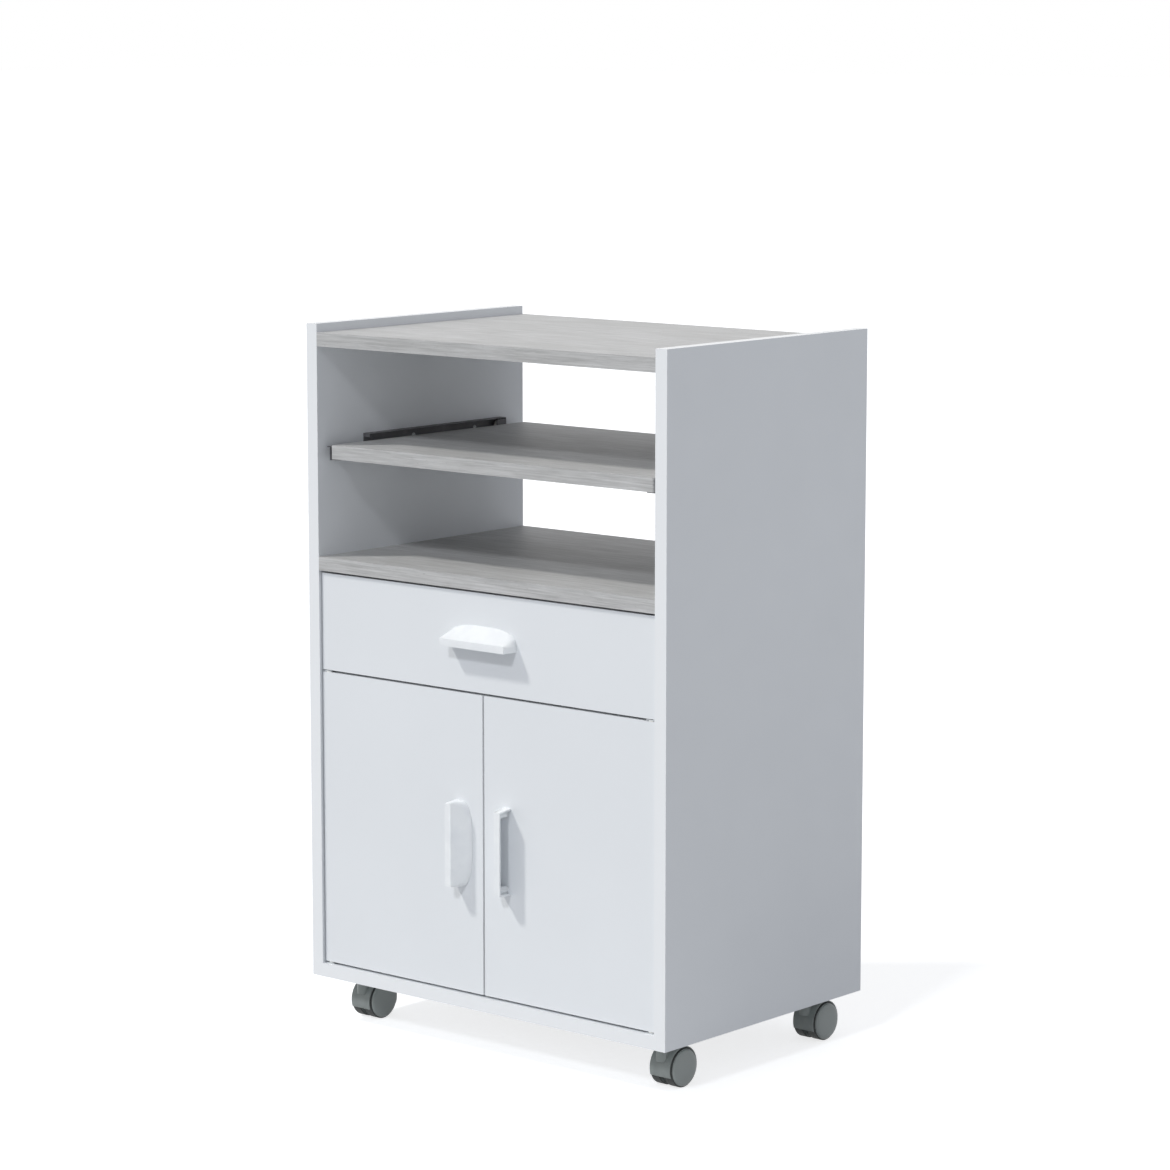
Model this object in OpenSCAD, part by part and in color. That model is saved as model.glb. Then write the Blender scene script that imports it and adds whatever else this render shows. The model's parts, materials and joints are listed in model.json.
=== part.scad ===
// Two-door kitchen cart on castors, with a pull-out shelf, an open bay and a drawer.
// Millimetres, +Z up, the front faces -Y, the origin is on the floor under the middle.

/* [Case] */
// outside width across the two side panels
case_w = 600; // [520:10:760]
// depth of the side panels and the three boards
case_d = 400; // [394:2:460]
// height of the side panels
case_h = 860; // [840:10:960]
// thickness of every laminated board
board_t = 18; // [17:0.5:20]
// how far the side panels stand above the top board
side_stand = 11; // [0:1:30]
// underside of the fixed shelf above the case bottom
fixed_shelf_h = 540; // [530:5:560]
// underside of the pull-out shelf above the case bottom
pull_shelf_h = 685; // [660:5:720]
// how far the drawer front and the doors sit behind the side panels' front edges
front_set = 4; // [3:0.5:6]
// gap above and below each front
front_gap = 3; // [3:0.5:4]
// gap between a front and the side panel beside it
side_gap = 2; // [2:0.5:4]
// gap between the two doors
door_split = 3; // [3:0.5:6]
// thickness of the back panel
back_t = 3; // [2.5:0.5:4]
// distance from the back panel to the back edge of the case
back_set = 10; // [8:1:16]
// depth of each groove that holds the back panel
back_groove = 6; // [4:1:8]

/* [Pull-out shelf] */
// how far the shelf front sits behind the side panels' front edges
shelf_set = 12; // [8:1:20]
// distance from the pull-out shelf's rear edge to the back of the case
shelf_rear_gap = 12; // [4:1:20]
// rounding of the shelf's corners, seen from above
shelf_round = 2.5; // [1:0.5:6]

/* [Drawer] */
// height of the drawer front
drawer_front_h = 127; // [120:1:140]
// height of the drawer's sides and back
drawer_box_h = 85; // [75:1:90]
// thickness of the drawer's sides and back
drawer_wall = 12; // [12:0.5:14]
// underside of the drawer's sides above the lower edge of its front
drawer_lift = 14; // [13:1:18]
// distance from the drawer's rear face to the back of the case
drawer_rear_gap = 28; // [24:1:32]
// thickness of the drawer's bottom panel
drawer_bottom_t = 3; // [3:0.5:4]
// underside of the bottom panel above the underside of the sides
drawer_bottom_up = 9; // [8:1:12]
// depth of the grooves that hold the bottom panel
drawer_groove = 5; // [4:0.5:6]

/* [Runners] */
// free width between the case and the moving board on each side
runner_gap = 12.5; // [12.5:0.1:12.9]
// thickness of the folded steel
runner_t = 1.2; // [1:0.1:1.3]
// radius of the roller on the case
front_roller_r = 8; // [7.5:0.1:8.2]
// radius of the roller on the moving board
rear_roller_r = 8.5; // [8:0.1:8.6]
// radius of each roller's rivet
roller_pin_r = 2; // [1.5:0.1:2.5]
// front end of the rail behind the case front
rail_front = 22.6; // [22.5:0.1:23.5]
// where the rail's upper flange begins
rail_upper = 86; // [84:1:88]
// distance from the rail's rear end to the back of the case
rail_rear_gap = 46; // [40:1:46]

/* [Doors] */
// door pivot's distance from the side panel's inner face
pivot_in = 10; // [10:0.5:12]
// door pivot's distance behind the door's front face
pivot_deep = 5; // [4.8:0.1:5.2]
// radius of the pivot pin
pivot_r = 2; // [1.8:0.1:2.2]
// length of pin inside the door
pivot_len = 12; // [8:1:16]
// outside radius of the plastic bush
bush_r = 3.5; // [3.2:0.1:3.7]
// thickness of the pivot bracket's tongue
tongue_t = 1.2; // [1:0.1:1.4]

/* [Handles] */
// length of each handle on its panel
handle_len = 112; // [104:1:128]
// how much shorter the gripping lip is at each end
lip_inset = 2.5; // [2:0.5:6]
// how far a handle stands off its panel
handle_out = 22; // [20:1:26]
// height of the gripping lip
lip_h = 9.5; // [8:0.5:11]
// height of the arch above the lip's middle line
arch_h = 22.5; // [20:0.5:25]
// height of the arch at its two ends
arch_side = 3.5; // [2.5:0.5:5]
// wall thickness of the handle
handle_wall = 2.2; // [2:0.1:2.6]
// distance between the two screws of a handle
screw_pitch = 96; // [90:1:96]
// height of the drawer handle's lip above the middle of the drawer front
drawer_handle_up = -0.5; // [-4:0.5:6]
// distance of each door handle's lip from the middle of the cart
door_handle_x = 41.5; // [38:0.5:60]
// height of each door handle's middle above the middle of its door
door_handle_up = -1; // [-10:0.5:10]

/* [Castors] */
// height from the floor to the case bottom
castor_h = 63; // [62:1:68]
// radius of each wheel
wheel_r = 25; // [24:0.2:25]
// width of each wheel
wheel_w = 17.4; // [16:0.2:18]
// outside radius of the hood
hood_r = 26.8; // [26.8:0.2:27.4]
// width of the hood
hood_w = 32; // [31:0.2:33]
// thickness of the hood's middle wall
hood_web = 6.4; // [6:0.2:7]
// distance between the stem and the axle, seen from the side
trail = 21; // [20.5:0.5:22]
// distance of each stem from the side of the case
castor_in_x = 44; // [38:1:50]
// distance of the front stems from the front of the case
castor_in_front = 49; // [40:1:58]
// distance of the back stems from the back of the case
castor_in_back = 59; // [50:1:60]

/* [Joinery] */
// radius of the cam locks in the boards
cam_r = 7.5; // [7:0.1:7.5]
// distance from a board's end to the cam's middle
cam_reach = 24; // [22:1:26]
// distance of the cams from the front and back edges of the boards
cam_edge = 84; // [84:1:88]
// distance of the dowels from the front and back edges of the boards
dowel_edge = 104; // [102:1:130]
// radius of the wooden dowels
dowel_r = 4; // [3.5:0.1:4]
// length of the wooden dowels
dowel_len = 30; // [26:1:30]
// play around fixed fasteners, on the radius
seat_fit = 0.03; // [0.02:0.01:0.05]
// play around turning parts, on the radius
run_fit = 0.06; // [0.04:0.01:0.08]

/* [Hidden] */
over = 1;
in_x = case_w / 2 - board_t;
handle_over = handle_out - front_set;
front_y = -(case_d - handle_over) / 2;
back_y = front_y + case_d;
base_z = castor_h;
top_h = case_h - side_stand - board_t;
levels = [0, fixed_shelf_h, top_h];
face_y = front_y + front_set;
inner_y = face_y + board_t;
front_half = in_x - side_gap;
door_low = board_t + front_gap;
drawer_low = fixed_shelf_h - front_gap - drawer_front_h;
door_high = drawer_low - front_gap;
door_mid = (door_low + door_high) / 2;
drawer_mid = drawer_low + drawer_front_h / 2;
shelf_d = case_d - shelf_set - shelf_rear_gap;
drawer_side_d = case_d - front_set - board_t - drawer_rear_gap;
cam_v = [cam_edge, case_d - cam_edge];
dowel_v = [dowel_edge, case_d - dowel_edge];
cam_h = 12.5;
cam_pocket = 13;
dowel_in_side = 12;
dowel_end = 0.5;
bolt_neck_r = 2;
bolt_head_r = 3.2;
bolt_shank_r = 3.5;
bolt_hole_r = 4;
bolt_thread_r = 2.5;
bolt_thread_len = 11;
back_v = case_d - back_set - back_t;

// runner, measured from the case's inner face, the case front and the carried board's underside
roll_play = 0.05;
fr_v = 32;
fr_z = 6.8;
flange_z = fr_z + front_roller_r + roll_play;
rail_rear = case_d - rail_rear_gap;
rr_v = rail_rear - rear_roller_r - 1.5;
floor_z = 7.8;
rr_z = floor_z + rear_roller_r + roll_play;
ceil_z = rr_z + rear_roller_r + 1;
channel_u = 10.5;
slide_u = runner_gap - runner_t;
flange_u = 3.4;
roller_low_u = 1.8;
roller_high_u = 9.6;
shelf_slide_front = 14;
drawer_slide_front = board_t + front_set + 0.3;
slide_rear = rail_rear - 2;
ear_front = rr_v - 10;
ear_z = 25;
tab_u = runner_gap + drawer_wall;
rail_screws = [[fr_v + 30, 1.5], [rail_rear / 2 + 3, 17], [rail_rear - 54, 17]];
slide_screw_v = [fr_v + 8, rail_rear / 2 + 13, rail_rear - 34];
slide_screw_u = runner_gap + (drawer_wall - drawer_groove) / 2;
drawer_h = drawer_low + drawer_lift;

// screws
screw_r = 1.75;
screw_head_r = 3;
screw_head_h = 1.4;
screw_len = 14;
handle_screw_r = 2;
handle_screw_head_r = 4;
handle_screw_head_h = 2.6;
handle_screw_bite = 11;
boss_up = 4;
boss_r = 4.4;
boss_len = 14;
boss_rib = 6;
arch_flat = 0.77;
arch_rim = 0.8;
lip_face = 0.6;

// pivot brackets
bracket_t = 1.5;
bracket_u = 16.5;
bracket_v = [0.6, 52];
flange_v = 22;
flange_h = 30;
bracket_screws = [[30, 12], [44, 24]];
collar_r = 4.5;
high_bracket = door_high + front_gap / 2 + tongue_t / 2;
catch_x = 45;
catch_w = 26;
catch_ear = 8;
catch_d = 13;
catch_h = 13;
catch_gap = 0.1;
strike_t = 1;
strike_w = 30;
strike_h = 10;
strike_up = 1;

// castors
axle_r = 3;
axle_z = wheel_r;
hood_skin = 1.3;
pocket_r = hood_r - hood_skin;
plate_w = 44;
plate_t = 2.5;
plate_round = 6;
plate_hole = 16;
shoulder_r = 8;
shoulder_h = 8.5;
stem_r = 4;
stem_low = 44.6;
bore_low = 44.2;
socket_r = 8;
socket_low = 35;
skirt_z = 15.5;
tyre_round = 1;
disc_step = 1.8;
disc_rise = 3.4;
castor_x = case_w / 2 - castor_in_x;
castor_screw_r = 1.9;
castor_head_r = 3.4;
castor_head_h = 1.8;
castor_screw_len = 14;

white = "#e8eaec";
cement = "#b2b2b0";
steel = "#c3c6c9";
dark_steel = "#444446";
castor_grey = "#737876";
pale_plastic = "#f2f4f6";
beech = "#c9a877";
hardboard = "#dfe0df";

// ---- shared shapes

module box(low, high) {
    translate(low) cube(high - low);
}

module both() {
    children();
    mirror([1, 0, 0]) children();
}

// a rod along X from x0 to x1
module rod_x(r, x0, x1, n = 24) {
    translate([x0, 0, 0]) rotate([0, 90, 0]) cylinder(r = r, h = x1 - x0, $fn = n);
}

// a rod along Y from y0 to y1
module rod_y(r, y0, y1, n = 24) {
    translate([0, y1, 0]) rotate([90, 0, 0]) cylinder(r = r, h = y1 - y0, $fn = n);
}

// pan-head screw: the head stands on z 0, the shank goes down
module screw(r, head_r, head_h, len) {
    difference() {
        union() {
            cylinder(r1 = head_r, r2 = head_r * 0.72, h = head_h, $fn = 20);
            translate([0, 0, -len + r]) cylinder(r = r, h = len - r + over / 2, $fn = 16);
            translate([0, 0, -len]) cylinder(r1 = r * 0.3, r2 = r, h = r, $fn = 16);
        }
        for (a = [0, 90])
            rotate([0, 0, a])
                translate([-head_r * 0.5, -0.35, head_h * 0.35])
                    cube([head_r, 0.7, head_h]);
    }
}

// ---- case

// places what is drawn for the right side panel's inner face: u to the middle, v to the back
module on_right(h) {
    translate([in_x, front_y, base_z + h]) mirror([1, 0, 0]) children();
}

module on_left(h) {
    translate([-in_x, front_y, base_z + h]) children();
}

module rail_holes() {
    for (p = rail_screws)
        translate([0, p[0], p[1]]) rod_x(screw_r + seat_fit, -screw_len - dowel_end, over, 16);
}

module bracket_holes() {
    for (p = bracket_screws)
        translate([0, front_set + p[0], p[1]])
            rod_x(screw_r + seat_fit, -screw_len - dowel_end, over, 16);
}

module side_panel() {
    difference() {
        box([in_x, front_y, base_z], [case_w / 2, back_y, base_z + case_h]);
        box([in_x - over, front_y + back_v, base_z - over],
            [in_x + back_groove, front_y + back_v + back_t, base_z + fixed_shelf_h + back_groove]);
        for (h = levels)
            translate([in_x, front_y, base_z + h + board_t / 2]) {
                for (v = cam_v)
                    translate([0, v, 0])
                        rod_x(bolt_thread_r + seat_fit, -over, bolt_thread_len + dowel_end, 16);
                for (v = dowel_v)
                    translate([0, v, 0])
                        rod_x(dowel_r + seat_fit, -over, dowel_in_side + dowel_end, 20);
            }
        on_right(pull_shelf_h) rail_holes();
        on_right(drawer_h) rail_holes();
        on_right(board_t) bracket_holes();
        on_right(high_bracket) mirror([0, 0, 1]) bracket_holes();
    }
}

module left_side_panel() {
    color(white) mirror([1, 0, 0]) side_panel();
}

module right_side_panel() {
    color(white) side_panel();
}

// board between the side panels, with the cam pockets in its underside
module case_board(h) {
    difference() {
        box([-in_x, front_y, base_z + h], [in_x, back_y, base_z + h + board_t]);
        both() {
            for (v = cam_v)
                translate([in_x - cam_reach, front_y + v, base_z + h]) {
                    translate([0, 0, -over])
                        cylinder(r = cam_r, h = cam_pocket + over, $fn = 32);
                    translate([0, 0, board_t / 2]) rod_x(bolt_hole_r, 0, cam_reach + over, 20);
                }
            for (v = dowel_v)
                translate([in_x, front_y + v, base_z + h + board_t / 2])
                    rod_x(dowel_r + seat_fit, dowel_in_side - dowel_len - dowel_end, over, 20);
        }
    }
}

module top_board() {
    color(cement) case_board(top_h);
}

module back_cut(low, high) {
    box([-in_x - over, front_y + back_v, base_z + low],
        [in_x + over, front_y + back_v + back_t, base_z + high]);
}

module fixed_shelf() {
    color(cement) difference() {
        case_board(fixed_shelf_h);
        back_cut(fixed_shelf_h - over, fixed_shelf_h + back_groove);
    }
}

module castor_hole_places() {
    for (x = [-1, 1], y = [-1, 1])
        translate([x * plate_hole, y * plate_hole, 0]) children();
}

module at_castors() {
    for (x = [-1, 1], v = [castor_in_front, case_d - castor_in_back])
        translate([x * castor_x, front_y + v, base_z]) children();
}

module catch_screw_places() {
    for (x = [-1, 1], e = [-1, 1])
        translate([x * catch_x + e * (catch_w + catch_ear) / 2,
            inner_y + strike_t + catch_gap + catch_d / 2, base_z + board_t]) children();
}

module bottom_board() {
    color(white) difference() {
        case_board(0);
        back_cut(board_t - back_groove, board_t + over);
        at_castors() castor_hole_places()
            translate([0, 0, -over])
                cylinder(r = castor_screw_r + seat_fit, h = castor_screw_len + over, $fn = 16);
        catch_screw_places()
            translate([0, 0, -screw_len])
                cylinder(r = screw_r + seat_fit, h = screw_len + over, $fn = 16);
    }
}

module back_panel() {
    color(hardboard)
        box([-in_x - back_groove + dowel_end, front_y + back_v, base_z + board_t - back_groove],
            [in_x + back_groove - dowel_end, front_y + back_v + back_t,
                base_z + fixed_shelf_h + back_groove - dowel_end]);
}

// cam lock: its face at z 0, its slot open towards +X at height axis_h
module cam(r, h, axis_h) {
    difference() {
        cylinder(r = r - seat_fit, h = h, $fn = 32);
        box([0, -bolt_neck_r - 0.4, axis_h - bolt_neck_r - 0.4],
            [r + over, bolt_neck_r + 0.4, axis_h + bolt_neck_r + 0.4]);
        translate([0, 0, axis_h]) rod_x(bolt_head_r + 0.3, -2.2, 2.8, 20);
        for (a = [0, 90])
            rotate([0, 0, a]) box([-3, -0.6, -over], [3, 0.6, 1.6]);
    }
}

// cam bolt: its head at the cam, its thread beyond the joint at x = reach
module cam_bolt(reach, cam_edge) {
    rod_x(bolt_head_r, -1, 2.7, 20);
    rod_x(bolt_neck_r, 0, cam_edge + 1.5, 16);
    rod_x(bolt_shank_r, cam_edge + 1, reach, 20);
    rod_x(bolt_thread_r, reach - 0.5, reach + bolt_thread_len, 16);
}

module at_cams() {
    both()
        for (h = levels, v = cam_v)
            translate([in_x - cam_reach, front_y + v, base_z + h]) children();
}

module cam_locks() {
    color(steel) at_cams() cam(cam_r, cam_h, board_t / 2);
}

module cam_bolts() {
    color(steel) at_cams() translate([0, 0, board_t / 2]) cam_bolt(cam_reach, cam_r);
}

module dowels() {
    color(beech)
        both()
            for (h = levels, v = dowel_v)
                translate([in_x + dowel_in_side, front_y + v, base_z + h + board_t / 2])
                    rod_x(dowel_r, -dowel_len, 0, 20);
}

// ---- runners

// fixed rail: u from the case's inner face, v from the case front, z from the carried board
module rail() {
    difference() {
        union() {
            box([0, rail_front, -3], [runner_t, rail_upper, 14]);
            box([0, rail_upper - over, -3], [runner_t, rail_rear, ceil_z + runner_t]);
            box([0, fr_v + front_roller_r + 2, floor_z - runner_t],
                [channel_u, rail_rear, floor_z]);
            box([0, rail_upper, ceil_z], [channel_u, rail_rear, ceil_z + runner_t]);
            box([0, rail_upper, ceil_z - 3.8], [channel_u, rail_upper + runner_t, ceil_z + over]);
            box([0, rail_rear - runner_t + 0.2, floor_z - runner_t],
                [channel_u, rail_rear, ceil_z + runner_t]);
            translate([0, fr_v, fr_z]) {
                rod_x(roller_pin_r, 0, 10.4, 16);
                rod_x(roller_pin_r * 1.7, 9.75, 10.4, 16);
                rod_x(roller_pin_r * 1.5, 0, 1.7, 16);
            }
        }
        for (p = rail_screws)
            translate([0, p[0], p[1]]) rod_x(screw_r + seat_fit, -over, runner_t + over, 16);
    }
}

// moving slide: it wraps the carried board's lower edge and carries the rear rivet
module slide(slide_front) {
    difference() {
        union() {
            box([slide_u, slide_front, -runner_t], [runner_gap, slide_rear, flange_z + runner_t]);
            box([slide_u, slide_front, -runner_t], [tab_u, slide_rear, 0]);
            box([flange_u, slide_front, flange_z], [runner_gap, ear_front, flange_z + runner_t]);
            box([slide_u, ear_front, 0], [runner_gap, slide_rear, ear_z]);
            translate([0, rr_v, rr_z]) {
                rod_x(roller_pin_r, 2.9, runner_gap - 0.2, 16);
                rod_x(roller_pin_r * 1.7, 2.9, 3.5, 16);
                rod_x(roller_pin_r * 1.5, 11, runner_gap - 0.2, 16);
            }
        }
        for (v = slide_screw_v)
            translate([slide_screw_u, v, -runner_t - over])
                cylinder(r = screw_r + seat_fit, h = runner_t + 2 * over, $fn = 16);
    }
}

module roller(r, u0, u1) {
    difference() {
        union() {
            rod_x(r, u0 + 0.8, u1 - 0.8, 40);
            rod_x(r - 0.8, u0, u1, 40);
        }
        rod_x(roller_pin_r + run_fit, u0 - over, u1 + over, 20);
    }
}

module in_bay(h) {
    on_left(h) children();
    on_right(h) children();
}

module front_rollers(h) {
    in_bay(h)
        translate([0, fr_v, fr_z]) roller(front_roller_r, roller_low_u, roller_high_u);
}

module rear_rollers(h) {
    in_bay(h)
        translate([0, rr_v, rr_z]) roller(rear_roller_r, 3.6, 10.9);
}

module shelf_rails() {
    color(dark_steel) in_bay(pull_shelf_h) rail();
}

module drawer_rails() {
    color(dark_steel) in_bay(drawer_h) rail();
}

module shelf_slides() {
    color(dark_steel) in_bay(pull_shelf_h) slide(shelf_slide_front);
}

module drawer_slides() {
    color(dark_steel) in_bay(drawer_h) slide(drawer_slide_front);
}

module shelf_front_rollers() {
    color(pale_plastic) front_rollers(pull_shelf_h);
}

module shelf_rear_rollers() {
    color(pale_plastic) rear_rollers(pull_shelf_h);
}

module drawer_front_rollers() {
    color(pale_plastic) front_rollers(drawer_h);
}

module drawer_rear_rollers() {
    color(pale_plastic) rear_rollers(drawer_h);
}

module case_screw() {
    screw(screw_r, screw_head_r, screw_head_h, screw_len);
}

// rails, pivot brackets and catches all take the same screw
module case_screws() {
    color(steel) {
        for (h = [pull_shelf_h, drawer_h])
            in_bay(h)
                for (p = rail_screws)
                    translate([runner_t, p[0], p[1]]) rotate([0, 90, 0]) case_screw();
        in_bay(board_t)
            for (p = bracket_screws)
                translate([bracket_t, front_set + p[0], p[1]])
                    rotate([0, 90, 0]) case_screw();
        in_bay(high_bracket)
            for (p = bracket_screws)
                translate([bracket_t, front_set + p[0], -p[1]])
                    rotate([0, 90, 0]) case_screw();
        catch_screw_places() translate([0, 0, 3]) case_screw();
    }
}

// ---- pull-out shelf

module slide_screw_holes(h) {
    in_bay(h)
        for (v = slide_screw_v)
            translate([slide_screw_u, v, -over])
                cylinder(r = screw_r + seat_fit, h = screw_len + over, $fn = 16);
}

module slide_screws(h) {
    in_bay(h)
        for (v = slide_screw_v)
            translate([slide_screw_u, v, -runner_t]) rotate([180, 0, 0]) case_screw();
}

module pull_out_shelf() {
    half = in_x - runner_gap;
    color(cement) difference() {
        translate([0, front_y + shelf_set, base_z + pull_shelf_h])
            linear_extrude(height = board_t)
                translate([-half + shelf_round, shelf_round])
                    offset(r = shelf_round, $fn = 32)
                        square([2 * (half - shelf_round), shelf_d - 2 * shelf_round]);
        slide_screw_holes(pull_shelf_h);
    }
}

module shelf_screws() {
    color(steel) slide_screws(pull_shelf_h);
}

// ---- drawer

box_x = in_x - runner_gap;
box_in_x = box_x - drawer_wall;
box_low = base_z + drawer_h;
box_high = box_low + drawer_box_h;
side_back_y = inner_y + drawer_side_d;
cam_up = [28, 66];
small_cam_r = 6;
small_cam_h = 9;
small_cam_pocket = 9.5;
back_screw_up = [36, 70];
back_screw_len = 25;
csk_r = 3.4;

module drawer_groove_cut(low, high) {
    box([low[0], low[1], box_low + drawer_bottom_up],
        [high[0], high[1], box_low + drawer_bottom_up + drawer_bottom_t + 0.2]);
}

module handle_screw_holes() {
    for (x = [-1, 1])
        translate([x * screw_pitch / 2, 0, boss_up])
            rod_y(handle_screw_r + 0.1, -over, board_t + over, 16);
}

module drawer_front() {
    color(white) difference() {
        box([-front_half, face_y, base_z + drawer_low],
            [front_half, inner_y, base_z + drawer_low + drawer_front_h]);
        drawer_groove_cut([-box_in_x - drawer_groove, inner_y - drawer_groove],
            [box_in_x + drawer_groove, inner_y + over]);
        on_drawer_face() handle_screw_holes();
        both()
            for (u = cam_up)
                translate([box_x - drawer_wall / 2, inner_y, box_low + u])
                    rod_y(bolt_thread_r + seat_fit, -bolt_thread_len - dowel_end, over, 16);
    }
}

module drawer_side() {
    difference() {
        box([box_in_x, inner_y, box_low], [box_x, side_back_y, box_high]);
        drawer_groove_cut([box_in_x - over, inner_y - over],
            [box_in_x + drawer_groove, side_back_y - drawer_wall + drawer_groove]);
        for (u = cam_up)
            translate([0, inner_y + cam_reach, box_low + u]) {
                rod_x(small_cam_r, box_in_x - over, box_in_x + small_cam_pocket, 32);
                translate([box_x - drawer_wall / 2, 0, 0])
                    rod_y(bolt_shank_r + 0.1, -cam_reach - over, 0, 20);
            }
        for (u = back_screw_up)
            translate([0, side_back_y - drawer_wall / 2, box_low + u]) {
                rod_x(screw_r + seat_fit, box_in_x - over, box_x + over, 16);
                translate([box_x - 2, 0, 0]) rotate([0, 90, 0])
                    cylinder(r1 = screw_r, r2 = csk_r, h = 2.001, $fn = 20);
            }
        on_right(drawer_h)
            for (v = slide_screw_v)
                translate([slide_screw_u, v, -over])
                    cylinder(r = screw_r + seat_fit, h = screw_len + over, $fn = 16);
    }
}

module drawer_side_left() {
    color(white) mirror([1, 0, 0]) drawer_side();
}

module drawer_side_right() {
    color(white) drawer_side();
}

module drawer_back() {
    color(white) difference() {
        box([-box_in_x, side_back_y - drawer_wall, box_low], [box_in_x, side_back_y, box_high]);
        drawer_groove_cut([-box_in_x - over, side_back_y - drawer_wall - over],
            [box_in_x + over, side_back_y - drawer_wall + drawer_groove]);
        both()
            for (u = back_screw_up)
                translate([0, side_back_y - drawer_wall / 2, box_low + u])
                    rod_x(screw_r + seat_fit, box_x - back_screw_len - 1, box_in_x + over, 16);
    }
}

module drawer_bottom() {
    color(hardboard)
        box([-box_in_x - drawer_groove + 0.3, inner_y - drawer_groove + 0.3,
                box_low + drawer_bottom_up],
            [box_in_x + drawer_groove - 0.3, side_back_y - drawer_wall + drawer_groove - 0.3,
                box_low + drawer_bottom_up + drawer_bottom_t]);
}

// countersunk screws through the sides into the back, and the slides' own screws
module drawer_screws() {
    color(steel) {
        slide_screws(drawer_h);
        both()
            for (u = back_screw_up)
                translate([box_x, side_back_y - drawer_wall / 2, box_low + u])
                    difference() {
                        union() {
                            translate([-1.9, 0, 0]) rotate([0, 90, 0])
                                cylinder(r1 = screw_r, r2 = csk_r - 0.1, h = 1.9, $fn = 20);
                            rod_x(screw_r, -back_screw_len, -1.5, 16);
                        }
                        for (a = [0, 90])
                            rotate([a, 0, 0]) box([-0.8, -2, -0.35], [over, 2, 0.35]);
                    }
    }
}

// cams and bolts between the drawer's front and its sides
module drawer_fittings() {
    color(steel)
        both()
            for (u = cam_up)
                translate([box_in_x, inner_y + cam_reach, box_low + u]) {
                    rotate([0, 90, 0]) rotate([0, 0, -90])
                        cam(small_cam_r, small_cam_h, drawer_wall / 2);
                    translate([drawer_wall / 2, 0, 0]) rotate([0, 0, -90])
                        cam_bolt(cam_reach, small_cam_r);
                }
}

// ---- handles: x along the handle, z to its closed side, -y away from the panel

// flat-topped arch from the left end to the right end of the handle
function arch_line(half, side, high, n = 24) = [for (i = [0:n]) let (a = 180 - 180 * i / n)
    [half * sign(cos(a)) * pow(abs(cos(a)), arch_flat),
        side + (high - side) * pow(sin(a), arch_flat)]];

module pull_form(inset, drop, past) {
    half = handle_len / 2 - inset;
    low = -lip_h / 2 - drop;
    hull() {
        box([-half + lip_inset, -handle_out + inset, low],
            [half - lip_inset, -handle_out + inset + lip_face, lip_h / 2 - inset]);
        translate([0, past, 0]) rotate([90, 0, 0])
            linear_extrude(height = arch_rim + past)
                polygon(concat([[half, low], [-half, low]],
                    arch_line(half, arch_side - inset, arch_h - inset)));
    }
}

module pull_handle() {
    difference() {
        union() {
            difference() {
                pull_form(0, 0, 0);
                pull_form(handle_wall, 8, 1);
            }
            intersection() {
                pull_form(0, 0, 0);
                for (x = [-1, 1])
                    translate([x * screw_pitch / 2, 0, boss_up]) {
                        rod_y(boss_r, -boss_len, 0, 28);
                        box([min(0, x * boss_rib), -boss_len, -handle_wall],
                            [max(0, x * boss_rib), 0, handle_wall]);
                    }
            }
        }
        for (x = [-1, 1])
            translate([x * screw_pitch / 2, 0, boss_up])
                rod_y(handle_screw_r + seat_fit, -handle_screw_bite - 0.5, over, 16);
    }
}

module handle_screw_pair() {
    for (x = [-1, 1])
        translate([x * screw_pitch / 2, board_t, boss_up])
            rotate([-90, 0, 0])
                screw(handle_screw_r, handle_screw_head_r, handle_screw_head_h,
                    board_t + handle_screw_bite);
}

module on_drawer_face() {
    translate([0, face_y, base_z + drawer_mid + drawer_handle_up]) children();
}

module on_door_face(s) {
    translate([s * door_handle_x, face_y, base_z + door_mid + door_handle_up])
        rotate([0, -90 * s, 0]) children();
}

module drawer_handle() {
    color(pale_plastic) on_drawer_face() pull_handle();
}

module drawer_handle_screws() {
    color(steel) on_drawer_face() handle_screw_pair();
}

// ---- doors

module at_pivots(s) {
    translate([s * (in_x - pivot_in), face_y + pivot_deep, base_z]) children();
}

module door(s) {
    difference() {
        box([s > 0 ? door_split / 2 : -front_half, face_y, base_z + door_low],
            [s > 0 ? front_half : -door_split / 2, inner_y, base_z + door_high]);
        on_door_face(s) handle_screw_holes();
        at_pivots(s) {
            translate([0, 0, door_low - over])
                cylinder(r = bush_r + seat_fit, h = pivot_len + 1.5 + over, $fn = 28);
            translate([0, 0, door_high - pivot_len - 1.5])
                cylinder(r = bush_r + seat_fit, h = pivot_len + 1.5 + over, $fn = 28);
        }
        for (e = [-1, 1])
            translate([s * catch_x + e * strike_w / 3, inner_y,
                base_z + door_low + strike_up + strike_h / 2])
                rod_y(0.8 + seat_fit, -7.5, over, 12);
    }
}

// lower bush: its collar carries the door on the bracket's tongue
module bush(collar_h) {
    difference() {
        union() {
            cylinder(r = bush_r, h = pivot_len + 1, $fn = 28);
            translate([0, 0, -collar_h]) cylinder(r = collar_r, h = collar_h, $fn = 28);
        }
        translate([0, 0, -collar_h - over])
            cylinder(r = pivot_r + run_fit, h = collar_h + pivot_len + 0.5 + over, $fn = 24);
    }
}

low_collar = front_gap - bracket_t;
high_collar = front_gap / 2 - tongue_t / 2;

module pivot_bushes(s) {
    color(pale_plastic) at_pivots(s) {
        translate([0, 0, door_low]) bush(low_collar);
        translate([0, 0, door_high]) mirror([0, 0, 1]) bush(high_collar - 0.1);
    }
}

module strike(s) {
    color(steel)
        translate([s * catch_x, inner_y, base_z + door_low + strike_up]) {
            box([-strike_w / 2, 0, 0], [strike_w / 2, strike_t, strike_h]);
            for (e = [-1, 1])
                translate([e * strike_w / 3, 0, strike_h / 2]) rod_y(0.8, -7, 0.5, 12);
        }
}

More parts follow.
